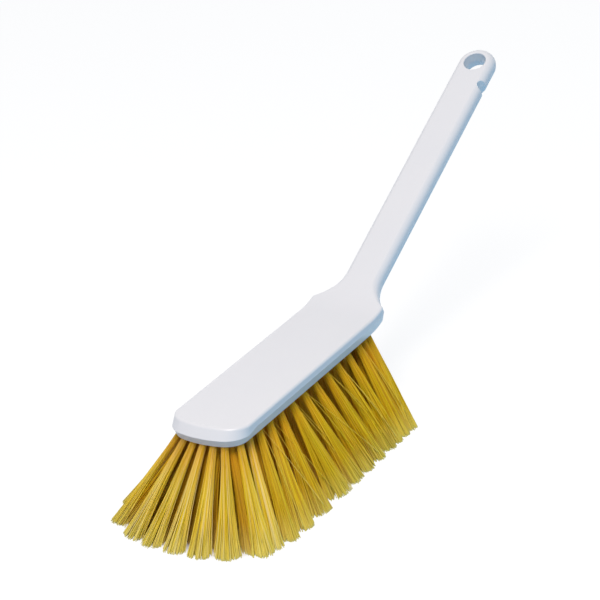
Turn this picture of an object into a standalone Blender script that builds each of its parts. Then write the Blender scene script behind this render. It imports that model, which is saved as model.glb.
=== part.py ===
"""Hand broom: a one-piece moulded block and handle, and the tufts of bristle set in its underside.

The moulding is drawn flat, in u along its top face from the block's front, v across it and w up
from the top face, and then bent up to the handle's angle. The block's front is at -X, the handle's
end at +X, the bristle tips stand on z = 0, and everything is in metres.
"""
import math

import bmesh
import bpy
from mathutils import Vector
from mathutils.geometry import delaunay_2d_cdt

MM = 0.001

# Depth of the parting line under the top face: at the front and round the handle, and less along the block
UPPER_DEPTH = 5.7 * MM
SIDE_UPPER_DEPTH = 4.2 * MM
PARTING_RISE_START = 13.0 * MM
PARTING_RISE_LENGTH = 11.0 * MM

# Block, the wide part that holds the bristles
BLOCK_LENGTH = 165.3 * MM
BLOCK_WIDTH = 47.1 * MM
BLOCK_THICKNESS = 10.1 * MM
FRONT_BOW = 5.5 * MM
FRONT_CORNER_RADIUS = 14.2 * MM
SIDE_EDGE_RADIUS = 1.6 * MM
FRONT_EDGE_RADIUS = 2.5 * MM
SIDE_DRAFT = 0.2 * MM
FRONT_DRAFT = 3.0 * MM
UNDERSIDE_INSET = 1.75 * MM
UNDERSIDE_EDGE = 0.5 * MM

# Shoulder and neck, where the block narrows into the handle
SHOULDER_RADIUS = 4.2 * MM
NECK_RADIUS = 28.0 * MM
SECTION_BLEND_DELAY = 2.7 * MM
SECTION_BLEND_LENGTH = 17.0 * MM

# Handle, which bends up from the block ahead of the shoulders
HANDLE_LENGTH = 185.9 * MM
HANDLE_WIDTH = 24.0 * MM
HANDLE_THICKNESS = 10.8 * MM
HANDLE_EDGE_WIDTH = 3.4 * MM
HANDLE_ANGLE = math.radians(26.5)
BEND_BEFORE_SHOULDER = 13.9 * MM
BEND_RADIUS = 50.0 * MM

# Hanging hole and rail notch
HANGING_HOLE_RADIUS = 6.9 * MM
HANGING_HOLE_FROM_END = 12.5 * MM
HOLE_RIM_RADIUS = 0.6 * MM
NOTCH_RADIUS = 3.5 * MM
NOTCH_FROM_END = 29.5 * MM
NOTCH_BEYOND_EDGE = 0.4 * MM

# Tufts and the blind holes that hold them
TUFT_RADIUS = 2.0 * MM
TUFT_CLEARANCE = 0.3 * MM
TUFT_COLLAR = 0.5 * MM
WALL_OVER_HOLES = 3.1 * MM
BRISTLE_HEIGHT = 47.0 * MM

# Strands of one tuft: one in the middle and a ring round it, which widens towards the tips
RING_STRAND_COUNT = 6
STRAND_ROOT_RADIUS = 0.52 * MM
STRAND_TIP_RADIUS = 1.1 * MM
RING_ROOT_RADIUS = 1.28 * MM
RING_TIP_RADIUS = 3.84 * MM

# How far the tips stand ahead of their roots: most at the front, least in the middle
FRONT_LEAN = 37.5 * MM
CORNER_LEAN = 28.0 * MM
MIDDLE_LEAN = 3.0 * MM
BACK_LEAN = 9.0 * MM
FRONT_LEAN_END = 59.0 * MM
FRONT_LEAN_SOFTNESS = 8.0 * MM
BACK_LEAN_START = 128.0 * MM
BACK_LEAN_SOFTNESS = 6.0 * MM

# How far the tips fan out sideways, as a multiple of their roots' distance from the middle
FRONT_SPREAD_RATIO = 2.45
SIDE_SPREAD_RATIO = 2.8
FRONT_SPREAD_END = 22.0 * MM
FRONT_SPREAD_SOFTNESS = 4.0 * MM

# Layout of the tufts, from the edges of the underside and from the front
ROW_MARGIN = 3.5 * MM
FRONT_MARGIN = 4.8 * MM
SIDE_ROW_START = 11.5 * MM
MIDDLE_ROW_START = 22.0 * MM
BACK_MARGIN = 10.9 * MM
FRONT_TUFTS_EACH_SIDE = 2
SIDE_TUFTS = 13
MIDDLE_TUFTS = 4
SIDE_ROW_CLOSING_RATIO = 0.28

# Fineness of the curves
BOW_STEPS = 8
CORNER_STEPS = 8
SIDE_STEPS = 8
BEND_STEPS = 8
SHOULDER_STEPS = 4
NECK_STEPS = 9
HANDLE_STEPS = 6
END_STEPS = 14
EDGE_STEPS = 4
LOWER_STEPS = 3
HOLE_SIDES = 32
RIM_STEPS = 3
TUFT_SIDES = 8
STRAND_SIDES = 3
CUT_OVERRUN = 2.0 * MM
TOUCHING = 1e-4 * MM

# Sizes that follow from the ones above
BEND_START = BLOCK_LENGTH - BEND_BEFORE_SHOULDER
TUFT_HOLE_RADIUS = TUFT_RADIUS + TUFT_CLEARANCE
TUFT_HOLE_DEPTH = BLOCK_THICKNESS - WALL_OVER_HOLES


def clear_scene():
    """Start from an empty scene."""
    for obj in list(bpy.data.objects):
        bpy.data.objects.remove(obj, do_unlink=True)


def material(name, colour, roughness, metallic=0.0):
    """One Principled material."""
    mat = bpy.data.materials.new(name)
    mat.use_nodes = True
    shader = mat.node_tree.nodes["Principled BSDF"]
    shader.inputs["Base Color"].default_value = (*colour, 1.0)
    shader.inputs["Roughness"].default_value = roughness
    shader.inputs["Metallic"].default_value = metallic
    return mat


def add_object(name, bm, mat, parent):
    """Turn a bmesh into a named object with its own material."""
    bmesh.ops.recalc_face_normals(bm, faces=bm.faces)
    mesh = bpy.data.meshes.new(name)
    bm.to_mesh(mesh)
    bm.free()
    mesh.materials.append(mat)
    obj = bpy.data.objects.new(name, mesh)
    obj.parent = parent
    bpy.context.scene.collection.objects.link(obj)
    return obj


def bend(u, v, w):
    """Flat moulding coordinates to block coordinates: straight, then an arc, then the handle's slope."""
    top = BLOCK_THICKNESS
    arc_length = BEND_RADIUS * HANDLE_ANGLE
    turn = min(max(u - BEND_START, 0.0), arc_length) / BEND_RADIUS
    past = max(u - BEND_START - arc_length, 0.0)
    x = min(u, BEND_START) + BEND_RADIUS * math.sin(turn) + past * math.cos(HANDLE_ANGLE)
    z = top + BEND_RADIUS * (1.0 - math.cos(turn)) + past * math.sin(HANDLE_ANGLE)
    return Vector((x - w * math.sin(turn), v, z + w * math.cos(turn)))


def arc(centre, radius, start, end, steps):
    """Points of an arc in the u, v plane, both ends included."""
    angles = (start + (end - start) * i / steps for i in range(steps + 1))
    return [(centre[0] + radius * math.cos(a), centre[1] + radius * math.sin(a)) for a in angles]


def line(start, end, steps):
    """Points between two ends, the ends left out."""
    return [tuple(a + (b - a) * i / steps for a, b in zip(start, end)) for i in range(1, steps)]


def bow_radius():
    """Radius of the bowed front, which falls back by its bow at the block's sides."""
    return ((BLOCK_WIDTH / 2) ** 2 + FRONT_BOW ** 2) / (2 * FRONT_BOW)


def shoulder_turn():
    """Angle that the outline turns through at the shoulder, and turns back through along the neck."""
    drop = (BLOCK_WIDTH - HANDLE_WIDTH) / 2
    return math.acos(1.0 - drop / (SHOULDER_RADIUS + NECK_RADIUS))


def neck_end():
    """Where the neck has narrowed to the handle's width."""
    return BLOCK_LENGTH + (SHOULDER_RADIUS + NECK_RADIUS) * math.sin(shoulder_turn())


def moulding_end():
    """Length of the whole moulding along its top face."""
    return neck_end() + HANDLE_LENGTH


def front_corner():
    """Centre of the front corner's rounding, and the angle at which the bow runs into it."""
    radius = bow_radius()
    corner_v = BLOCK_WIDTH / 2 - FRONT_CORNER_RADIUS
    reach = radius - FRONT_CORNER_RADIUS
    corner_u = radius - math.sqrt(reach ** 2 - corner_v ** 2)
    return (corner_u, corner_v), math.atan2(corner_v, corner_u - radius)


def half_outline():
    """Half of the moulding's widest outline, from the front's middle to the handle end's middle."""
    half = BLOCK_WIDTH / 2
    half_handle = HANDLE_WIDTH / 2
    front = bow_radius()
    corner, tangent = front_corner()
    turn = shoulder_turn()
    neck = neck_end()
    end_centre = moulding_end() - half_handle
    quarter = math.pi / 2

    points = arc((front, 0.0), front, math.pi, tangent, BOW_STEPS)
    points += arc(corner, FRONT_CORNER_RADIUS, tangent, quarter, CORNER_STEPS)[1:]
    points += line((corner[0], half), (BEND_START, half), SIDE_STEPS)
    points += line((BEND_START, half), (BLOCK_LENGTH, half), BEND_STEPS)
    points += arc((BLOCK_LENGTH, half - SHOULDER_RADIUS), SHOULDER_RADIUS,
                  quarter, quarter - turn, SHOULDER_STEPS)
    points += arc((neck, half_handle + NECK_RADIUS), NECK_RADIUS,
                  -quarter - turn, -quarter, NECK_STEPS)[1:]
    points += line((neck, half_handle), (end_centre, half_handle), HANDLE_STEPS)
    points += arc((end_centre, 0.0), half_handle, quarter, 0.0, END_STEPS)
    return points


def inward_normals(points):
    """Unit normals of the half outline, pointing into the moulding."""
    normals = []
    last = len(points) - 1
    for i, point in enumerate(points):
        if i == 0:
            normals.append(Vector((1.0, 0.0)))
        elif i == last:
            normals.append(Vector((-1.0, 0.0)))
        else:
            along = Vector(points[i + 1]) - Vector(points[i - 1])
            normals.append(Vector((along.y, -along.x)).normalized())
    return normals


def smooth_step(value):
    """Ease from 0 to 1."""
    t = min(max(value, 0.0), 1.0)
    return t * t * (3.0 - 2.0 * t)


def block_section(front, rise):
    """Inset and height of the block's edge, from its top face to its underside.

    Front is 1 at the front's middle and 0 along the sides, and rise is 1 where the parting line has risen.
    The side runs straight up from the parting line into the rounding of the top edge.
    """
    draft = SIDE_DRAFT + (FRONT_DRAFT - SIDE_DRAFT) * front
    radius = SIDE_EDGE_RADIUS + (FRONT_EDGE_RADIUS - SIDE_EDGE_RADIUS) * front
    depth = UPPER_DEPTH + (SIDE_UPPER_DEPTH - UPPER_DEPTH) * rise
    reach = math.hypot(draft + radius, depth - radius)
    slope = math.atan2(depth - radius, draft + radius) + math.asin(radius / reach)
    section = []
    for i in range(EDGE_STEPS):
        angle = math.pi / 2 - slope * i / (EDGE_STEPS - 1)
        section.append((draft + radius * (1.0 - math.cos(angle)), -radius * (1.0 - math.sin(angle))))
    section.append((0.0, -depth))
    section.append((UNDERSIDE_INSET / 2, -(depth + BLOCK_THICKNESS) / 2))
    section.append((UNDERSIDE_INSET, -BLOCK_THICKNESS + UNDERSIDE_EDGE))
    section.append((UNDERSIDE_INSET + UNDERSIDE_EDGE, -BLOCK_THICKNESS))
    return section


def handle_section():
    """Inset and height of the handle's rounded edge, with as many points as the block's."""
    section = []
    for i in range(EDGE_STEPS + 1):
        angle = math.pi / 2 * (1.0 - i / EDGE_STEPS)
        inset = HANDLE_EDGE_WIDTH * (1.0 - math.cos(angle))
        section.append((inset, -UPPER_DEPTH * (1.0 - math.sin(angle))))
    for i in range(1, LOWER_STEPS + 1):
        angle = math.pi / 2 * i / LOWER_STEPS
        inset = HANDLE_EDGE_WIDTH * (1.0 - math.cos(angle))
        section.append((inset, -UPPER_DEPTH - (HANDLE_THICKNESS - UPPER_DEPTH) * math.sin(angle)))
    return section


def moulding_mesh():
    """The block and handle as one closed skin: rings round the outline, ladders on top and below."""
    half = half_outline()
    normals = inward_normals(half)
    handle = handle_section()
    levels = len(handle)
    bm = bmesh.new()
    rails = []
    blend_start = BLOCK_LENGTH + SECTION_BLEND_DELAY
    for (u, v), normal in zip(half, normals):
        share = smooth_step((u - blend_start) / SECTION_BLEND_LENGTH)
        front = max(normal.x, 0.0) if u < BEND_START else 0.0
        rise = smooth_step((u - PARTING_RISE_START) / PARTING_RISE_LENGTH)
        left, right = [], []
        for (block_inset, block_w), (handle_inset, handle_w) in zip(block_section(front, rise), handle):
            inset = block_inset + (handle_inset - block_inset) * share
            w = block_w + (handle_w - block_w) * share
            ring_u = u + normal.x * inset
            ring_v = v + normal.y * inset
            left.append(bm.verts.new(bend(ring_u, ring_v, w)))
            right.append(left[-1] if abs(v) < TOUCHING else bm.verts.new(bend(ring_u, -ring_v, w)))
        rails.append((left, right))
    for (left_a, right_a), (left_b, right_b) in zip(rails, rails[1:]):
        for k in range(levels - 1):
            bm.faces.new((left_a[k], left_b[k], left_b[k + 1], left_a[k + 1]))
            bm.faces.new((right_a[k], right_a[k + 1], right_b[k + 1], right_b[k]))
        for k in (0, levels - 1):
            corners = (left_a[k], right_a[k], right_b[k], left_b[k])
            bm.faces.new(tuple(dict.fromkeys(corners)))
    for face in bm.faces:
        face.smooth = True
    return bm


def add_rings(bm, rings):
    """Add a closed body from rings of equal count, with flat ends."""
    loops = [[bm.verts.new(point) for point in ring] for ring in rings]
    count = len(loops[0])
    for lower, upper in zip(loops, loops[1:]):
        for i in range(count):
            j = (i + 1) % count
            bm.faces.new((lower[i], lower[j], upper[j], upper[i]))
    bm.faces.new(loops[0])
    bm.faces.new(loops[-1])


def circle(radius, sides, start=0.0):
    """Points of a circle as 2-D vectors, the first at the start angle."""
    angles = (start + 2 * math.pi * i / sides for i in range(sides))
    return [Vector((radius * math.cos(a), radius * math.sin(a))) for a in angles]


def through_cutter(u, v, radius, rim):
    """Rings of a round cut square to the handle's top face, flared by a soft rim at both faces."""
    stations = [(CUT_OVERRUN, radius + rim), (0.0, radius + rim)]
    for i in range(1, RIM_STEPS + 1):
        angle = math.pi / 2 * i / RIM_STEPS
        stations.append((-rim * (1.0 - math.cos(angle)), radius + rim * (1.0 - math.sin(angle))))
    stations += [(-HANDLE_THICKNESS - w, r) for w, r in reversed(stations)]
    bm = bmesh.new()
    add_rings(bm, [[bend(u + p.x, v + p.y, w) for p in circle(r, HOLE_SIDES)] for w, r in stations])
    return bm


def cut(target, name, bm, mat, parent):
    """Subtract a cutter from the target with a live Boolean."""
    cutter = add_object(name, bm, mat, parent)
    cutter.display_type = 'WIRE'
    cutter.hide_render = True
    modifier = target.modifiers.new(name, 'BOOLEAN')
    modifier.operation = 'DIFFERENCE'
    modifier.solver = 'EXACT'
    modifier.object = cutter


def last_tuft_place():
    """How far along the block the last tufts stand."""
    return BLOCK_LENGTH - BACK_MARGIN


def side_row_places():
    """How far along the block the side row's tufts stand: even, but closing up towards the front."""
    span = last_tuft_place() - SIDE_ROW_START
    places = []
    for i in range(SIDE_TUFTS):
        t = i / (SIDE_TUFTS - 1)
        places.append(SIDE_ROW_START + span * (t - SIDE_ROW_CLOSING_RATIO * t * (1.0 - t) * (1.0 - t)))
    return places


def side_row_offset():
    """How far the side rows stand from the middle."""
    return BLOCK_WIDTH / 2 - UNDERSIDE_INSET - ROW_MARGIN


def tuft_places():
    """Name and root of every tuft, as a dictionary in drilling order."""
    row_v = side_row_offset()
    side = side_row_places()
    places = {"tuft_front_1": (FRONT_MARGIN, 0.0)}
    for i in range(1, FRONT_TUFTS_EACH_SIDE + 1):
        v = row_v * i / (FRONT_TUFTS_EACH_SIDE + 1)
        u = FRONT_MARGIN + bow_radius() - math.sqrt(bow_radius() ** 2 - v ** 2)
        places[f"tuft_front_left_{i}"] = (u, v)
        places[f"tuft_front_right_{i}"] = (u, -v)
    for i, u in enumerate(side):
        places[f"tuft_side_left_{i + 1:02d}"] = (u, row_v)
        places[f"tuft_side_right_{i + 1:02d}"] = (u, -row_v)
    for i, (u, next_u) in enumerate(zip(side, side[1:])):
        between = (u + next_u) / 2
        places[f"tuft_inner_left_{i + 1:02d}"] = (between, row_v / 2)
        places[f"tuft_inner_right_{i + 1:02d}"] = (between, -row_v / 2)
    for i in range(MIDDLE_TUFTS):
        u = MIDDLE_ROW_START + (last_tuft_place() - MIDDLE_ROW_START) * i / (MIDDLE_TUFTS - 1)
        places[f"tuft_middle_{i + 1}"] = (u, 0.0)
    return places


def fade(u, end, softness):
    """Pass from 1 to 0 along the block, in an S round the end whose width the softness gives."""
    return 1.0 / (1.0 + math.exp((u - end) / softness))


def tip_place(u, v):
    """Where a tuft's middle ends on the plane of the tips: ahead of its root, and outward at the sides."""
    most = FRONT_LEAN + (CORNER_LEAN - FRONT_LEAN) * (v / side_row_offset()) ** 2
    front = (most - MIDDLE_LEAN) * fade(u, FRONT_LEAN_END, FRONT_LEAN_SOFTNESS)
    back = (BACK_LEAN - MIDDLE_LEAN) * (1.0 - fade(u, BACK_LEAN_START, BACK_LEAN_SOFTNESS))
    narrowing = (SIDE_SPREAD_RATIO - FRONT_SPREAD_RATIO) * fade(u, FRONT_SPREAD_END, FRONT_SPREAD_SOFTNESS)
    return Vector((u - MIDDLE_LEAN - front - back, v * (SIDE_SPREAD_RATIO - narrowing)))


def strand_middles(ring_radius):
    """Middles of one tuft's strands: one in the middle and a ring round it, two abreast fore and aft."""
    return [Vector((0.0, 0.0))] + circle(ring_radius, RING_STRAND_COUNT, math.pi / RING_STRAND_COUNT)


def collar():
    """Points of a tuft's lower face, the strands' roots among them, and the triangles between the roots."""
    points = circle(TUFT_RADIUS, TUFT_SIDES)
    polygons = [list(range(TUFT_SIDES))]
    for middle in strand_middles(RING_ROOT_RADIUS):
        polygons.append([len(points) + i for i in range(STRAND_SIDES)])
        points += [middle + corner for corner in circle(STRAND_ROOT_RADIUS, STRAND_SIDES)]
    found = delaunay_2d_cdt(points, [], polygons, 1, TOUCHING)
    faces, point_sources, face_sources = found[2], found[3], found[5]
    triangles = []
    for face, sources in zip(faces, face_sources):
        if list(sources) == [0]:
            triangles.append([point_sources[i][0] for i in face])
    return points, triangles


def tuft_mesh(u, v, points, triangles):
    """One tuft: a round root in its hole, and straight strands that spread to tips cut flat."""
    bm = bmesh.new()
    tip = tip_place(u, v)
    lower = [bm.verts.new((u + p.x, v + p.y, -TUFT_COLLAR)) for p in points]
    root_top = TUFT_HOLE_DEPTH - TUFT_CLEARANCE
    upper = [bm.verts.new((u + p.x, v + p.y, root_top)) for p in points[:TUFT_SIDES]]
    bm.faces.new(upper)
    for i in range(TUFT_SIDES):
        j = (i + 1) % TUFT_SIDES
        bm.faces.new((upper[i], upper[j], lower[j], lower[i]))
    for triangle in triangles:
        bm.faces.new([lower[i] for i in triangle])
    for k, middle in enumerate(strand_middles(RING_TIP_RADIUS)):
        first = TUFT_SIDES + STRAND_SIDES * k
        root = lower[first:first + STRAND_SIDES]
        ends = []
        for corner in circle(STRAND_TIP_RADIUS, STRAND_SIDES):
            place = tip + middle + corner
            ends.append(bm.verts.new((place.x, place.y, -BRISTLE_HEIGHT)))
        for i in range(STRAND_SIDES):
            j = (i + 1) % STRAND_SIDES
            bm.faces.new((root[i], root[j], ends[j], ends[i]))
        bm.faces.new(ends)
    return bm


def tuft_hole_mesh(places):
    """One cutter for all the tuft holes, a drill of its own for each."""
    bm = bmesh.new()
    for u, v in places.values():
        outline = circle(TUFT_HOLE_RADIUS, TUFT_SIDES)
        add_rings(bm, [[(u + p.x, v + p.y, z) for p in outline] for z in (-CUT_OVERRUN, TUFT_HOLE_DEPTH)])
    return bm


def build():
    """Make every piece under one empty, then stand the broom on its bristle tips."""
    clear_scene()
    white = material("white_polypropylene", (0.86, 0.86, 0.88), 0.32)
    yellow = material("yellow_bristle", (0.80, 0.58, 0.12), 0.5)
    cutter = material("cutter", (0.5, 0.5, 0.5), 0.5)
    broom = bpy.data.objects.new("broom", None)
    bpy.context.scene.collection.objects.link(broom)

    places = tuft_places()
    moulding = add_object("block_and_handle", moulding_mesh(), white, broom)
    cut(moulding, "cut_tuft_holes", tuft_hole_mesh(places), cutter, broom)
    end = moulding_end()
    hole = through_cutter(end - HANGING_HOLE_FROM_END, 0.0, HANGING_HOLE_RADIUS, HOLE_RIM_RADIUS)
    cut(moulding, "cut_hanging_hole", hole, cutter, broom)
    notch = through_cutter(end - NOTCH_FROM_END, -HANDLE_WIDTH / 2 - NOTCH_BEYOND_EDGE, NOTCH_RADIUS, 0.0)
    cut(moulding, "cut_notch", notch, cutter, broom)

    points, triangles = collar()
    for name, (u, v) in places.items():
        add_object(name, tuft_mesh(u, v, points, triangles), yellow, broom)

    pieces = [obj for obj in broom.children if not obj.name.startswith("cut_")]
    xs = [vertex.co.x for obj in pieces for vertex in obj.data.vertices]
    broom.location = (-(min(xs) + max(xs)) / 2, 0.0, BRISTLE_HEIGHT)
    print("tufts", len(places), "strands", len(places) * (RING_STRAND_COUNT + 1))


build()
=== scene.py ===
"""Looks of the hand broom: a satin white moulding with its tufts of golden filament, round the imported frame."""
import math

import bpy
import numpy as np
from mathutils import Matrix, Vector


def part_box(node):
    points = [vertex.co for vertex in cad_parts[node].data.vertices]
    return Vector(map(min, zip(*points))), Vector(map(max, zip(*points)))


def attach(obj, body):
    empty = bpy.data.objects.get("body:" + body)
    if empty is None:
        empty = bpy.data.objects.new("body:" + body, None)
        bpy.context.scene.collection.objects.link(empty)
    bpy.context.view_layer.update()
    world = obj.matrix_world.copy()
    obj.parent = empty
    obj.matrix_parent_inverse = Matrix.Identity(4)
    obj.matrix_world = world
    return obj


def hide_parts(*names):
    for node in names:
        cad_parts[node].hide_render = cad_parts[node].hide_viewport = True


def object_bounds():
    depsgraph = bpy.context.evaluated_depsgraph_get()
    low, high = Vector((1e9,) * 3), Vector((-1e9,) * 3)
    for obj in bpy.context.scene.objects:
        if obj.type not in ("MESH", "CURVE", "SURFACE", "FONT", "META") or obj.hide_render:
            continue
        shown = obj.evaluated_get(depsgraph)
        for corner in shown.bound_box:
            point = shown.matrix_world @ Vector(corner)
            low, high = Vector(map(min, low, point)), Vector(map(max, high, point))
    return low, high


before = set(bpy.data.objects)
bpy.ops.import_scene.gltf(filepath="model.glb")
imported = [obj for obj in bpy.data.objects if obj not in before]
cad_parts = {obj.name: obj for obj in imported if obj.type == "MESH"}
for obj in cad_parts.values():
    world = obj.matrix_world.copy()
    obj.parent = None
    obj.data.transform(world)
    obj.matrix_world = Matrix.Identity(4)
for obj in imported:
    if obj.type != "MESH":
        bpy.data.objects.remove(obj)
cad_box = [list(corner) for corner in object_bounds()]

MM = 0.001

# Where the moulding stands in the frame: its front is the node's lowest x, its underside the lowest z
FRONT_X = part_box("block_and_handle")[0][0]
UNDERSIDE_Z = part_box("block_and_handle")[0][2]

# Block, drawn flat: u along the top from the front, v across, w up from the top
BLOCK_LENGTH = 165.3 * MM
BLOCK_WIDTH = 47.1 * MM
BLOCK_THICKNESS = 10.1 * MM
FRONT_BOW = 5.5 * MM
FRONT_CORNER_RADIUS = 14.2 * MM
SIDE_EDGE_RADIUS = 1.6 * MM
FRONT_EDGE_RADIUS = 2.5 * MM
SIDE_DRAFT = 0.2 * MM
FRONT_DRAFT = 3.0 * MM
UNDERSIDE_INSET = 1.75 * MM
UNDERSIDE_EDGE = 0.5 * MM

# Neck, and the change from the block's section to the handle's, which starts a little behind the block
SHOULDER_RADIUS = 4.2 * MM
NECK_RADIUS = 28.0 * MM
SECTION_BLEND_DELAY = 2.7 * MM
SECTION_BLEND_LENGTH = 17.0 * MM

# Handle: the edge is as wide as its rounding reaches in, and the crease is the angle at which that starts
HANDLE_LENGTH = 185.9 * MM
HANDLE_WIDTH = 24.0 * MM
HANDLE_THICKNESS = 10.8 * MM
HANDLE_EDGE_WIDTH = 3.6 * MM
HANDLE_CREASE = math.radians(24.0)
HANDLE_ANGLE = math.radians(26.5)
BEND_START = BLOCK_LENGTH - 13.9 * MM
BEND_RADIUS = 50.0 * MM

# Parting line: its depth under the top, less along the block's sides, and the four corners of the hair of plastic
# left standing there, because the faces above and below it are sunk
UPPER_DEPTH = 5.7 * MM
SIDE_UPPER_DEPTH = 4.2 * MM
PARTING_RISE_START = 13.0 * MM
PARTING_RISE_LENGTH = 11.0 * MM
PARTING_SUNK = 0.09 * MM
PARTING_HALF_WIDTH = 0.12 * MM
PARTING_INSETS = PARTING_SUNK * np.array([1.0, 0.0, 0.0, 1.0])
PARTING_HEIGHTS = PARTING_HALF_WIDTH * np.array([1.8, 0.6, -0.6, -1.8])

# Hanging hole, notch and the tufts' blind holes: their cutters reach a little beyond the faces
HOLE_RADIUS = 6.9 * MM
HOLE_FROM_END = 12.5 * MM
HOLE_RIM = 0.6 * MM
HOLE_DRAFT = 0.2 * MM
HOLE_SIDES = 72
NOTCH_RADIUS = 3.5 * MM
NOTCH_FROM_END = 29.5 * MM
NOTCH_BEYOND_EDGE = 0.4 * MM
NOTCH_RIM = 0.25 * MM
NOTCH_DRAFT = 0.1 * MM
NOTCH_SIDES = 56
TUFT_HOLE_RADIUS = 2.3 * MM
TUFT_HOLE_DEPTH = 7.0 * MM
TUFT_HOLE_SIDES = 16
CUT_BEYOND = 2.0 * MM

# Mesh of the moulding: steps between the outline's points, short where it turns or bends, and levels down its
# edge. The flat faces' outermost ring is this far inside the rounding
BOW_STEP = 0.7 * MM
CORNER_STEP = 0.6 * MM
BLOCK_SIDE_STEP = 4.0 * MM
BEND_STEP = 0.9 * MM
SHOULDER_STEP = 0.35 * MM
NECK_STEP = 0.7 * MM
HANDLE_SIDE_STEP = 3.0 * MM
HANDLE_END_STEP = 0.5 * MM
ROUNDING_LEVELS = 8
SIDE_SHARES = (0.35, 0.7)
BAND_SHARES = (0.35, 0.7, 1.0)
UNDERSIDE_EDGE_TURNS = (30.0, 60.0, 90.0)
CREASE_LEVELS = 10
HANDLE_UNDERSIDE_LEVELS = 6
RIM_LEVELS = 6
FLAT_INSET = 0.7 * MM
SHARP_ANGLE = math.radians(35.0)
LARGE_FACE_WEIGHT = 80

# Filaments
FILAMENTS = 210
FILAMENT_RADIUS = 0.165 * MM
FILAMENT_RADIUS_SPREAD = (0.85, 1.12)
FILAMENT_SIDES = 4
FILAMENT_STATIONS = 7
FILAMENT_TOP = 2.0 * MM
TIP_SWELL = 1.5

# Tufts: radius of the bundle at the root, half width and half depth at the tips, and the power by which it
# flares. The front's values pass to the sides' round one place along the block. Tips behind another are gathered.
# A tuft that leans less than the least lean has no direction to lean in
FRONT_BUNDLE_RADIUS = 1.95 * MM
SIDE_BUNDLE_RADIUS = 2.02 * MM
TIP_REACH = 0.50
TIP_DEPTH = 4.8 * MM
INNER_TIP_HALF = 7.5 * MM
INNER_TIP_DEPTH = 8.5 * MM
BACK_ROWS_START = 138.0 * MM
FRONT_NARROWING = 0.10
FRONT_FLARE = 1.95
SIDE_FLARE = 1.35
FLARE_CHANGE_AT = 50.0 * MM
FLARE_CHANGE_OVER = 10.0 * MM
BACK_GATHER_START = 118.0 * MM
BACK_GATHER = 0.76
LEAST_LEAN = 1e-6

# Unevenness of a tuft: the turn at which its spiral starts, the locks that its filaments are drawn to, their jogs
# and bows, and the heights of their cut tips. Tips stay this far inside the whole object's box
SPIRAL_START = (0.0, 6.28)
LOCKS = 9
LOCK_REACH = 0.85
LOCK_PULL = (0.05, 0.40)
JOG = 0.35 * MM
BOW = 0.28 * MM
TIP_HEIGHT = 0.25 * MM
HIGHEST_TIP = 0.9 * MM
BOX_MARGIN = 0.3 * MM

# Finish of the moulding: two shades that cloud it, its roughness and what clouds and scuffs add to that, how
# steeply a scuff comes in, and the heights of grain and scuffs in parts of the bump's distance
WHITE_SHADES = ((0.845, 0.850, 0.872), (0.875, 0.875, 0.885))
SATIN_ROUGHNESS = 0.25
CLOUD_ROUGHNESS = 0.10
SCUFF_ROUGHNESS = 0.12
SCUFF_STEEPNESS = 8.0
GRAIN_HEIGHT = 0.25
SCUFF_HEIGHT = -0.5
BUMP_DISTANCE = 0.05 * MM

# Tones of the filaments, from 0, deep orange, to 1, straw: palest at the front, a painted light, deeper at the
# sides and deepest in the hidden rows, a painted shade
FRONT_PAINTED_LIGHT_TONES = (0.46, 1.0)
SIDE_PAINTED_SHADE_TONES = (0.08, 0.72)
INNER_PAINTED_SHADE_TONES = (0.0, 0.32)
STRAY_TONES = (0.6, 0.9)
FRONT_TONE_END = 30.0 * MM
TUFT_SHADE = 0.06

# Colours of the tones, and those that come over them along a filament, from 0 at the root to 1 at the tip: where
# each starts, and how steeply it comes in, or with a minus goes out
TONE_COLOURS = ((0.0, (0.58, 0.27, 0.001)), (0.3, (0.78, 0.50, 0.002)), (0.6, (0.90, 0.66, 0.010)),
                (0.85, (1.0, 0.74, 0.10)), (1.0, (1.0, 0.80, 0.30)))
# Painted shade: deeper orange towards the root, under the block and between the tufts
ROOT_PAINTED_SHADE = (0.42, -1.5, (0.90, 0.40, 0.003))
# Paler olive straw towards the tips
PALE_OLIVE_TIP = (0.72, 1.6, (0.75, 0.72, 0.20))
# Painted shade: darker olive at the very ends of the tips
CUT_END_PAINTED_SHADE = (0.975, 30.0, (0.60, 0.56, 0.16))

# Places of the tufts: a solid's root is its points more than an end above the underside, and its tips are those
# less than an end above the floor
SIDE_TUFTS = 13
SOLID_END = 1.0 * MM

# Hidden tufts that the frame leaves out. Each of a pair has its share of v and of the way between two tufts. Each
# in a row has its shares of v at the root and at the tips, and how far back its tips move
PAIR_SHARES = ((0.97, 0.6), (0.74, 0.4))
MIDDLE_SPACING = 5.2 * MM
BETWEEN_ROWS_BACK = 4.0 * MM
SECOND_ROW = ((0.68, 0.85, 2.0 * MM), (0.29, 0.29, -7.5 * MM))
LAST_ROW = ((1 / 3, 1 / 3, 0.0), (2 / 3, 2 / 3, 0.0))

# Loose filaments: the side tufts they start from, how many places behind they end, and ranges in millimetres,
# along the broom and outwards
STRAY_TUFTS = (3, 4, 6, 7, 9, 10, 12)
STRAY_BEHIND = (1, 2)
STRAY_START_ALONG = (-1.0, 1.0)
STRAY_START_OUT = 1.5
STRAY_TIP_ALONG = (-6.0, 2.0)
STRAY_TIP_OUT = (-1.0, 2.5)
STRAY_BOW_ALONG = (-1.0, 1.5)
STRAY_BOW_OUT = (0.5, 1.8)
STRAY_TIP_HEIGHT = 5.0 * MM

# Seeds
FIRST_TUFT_SEED = 100
FIRST_FILL_SEED = 300
STRAY_SEED = 7
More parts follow.
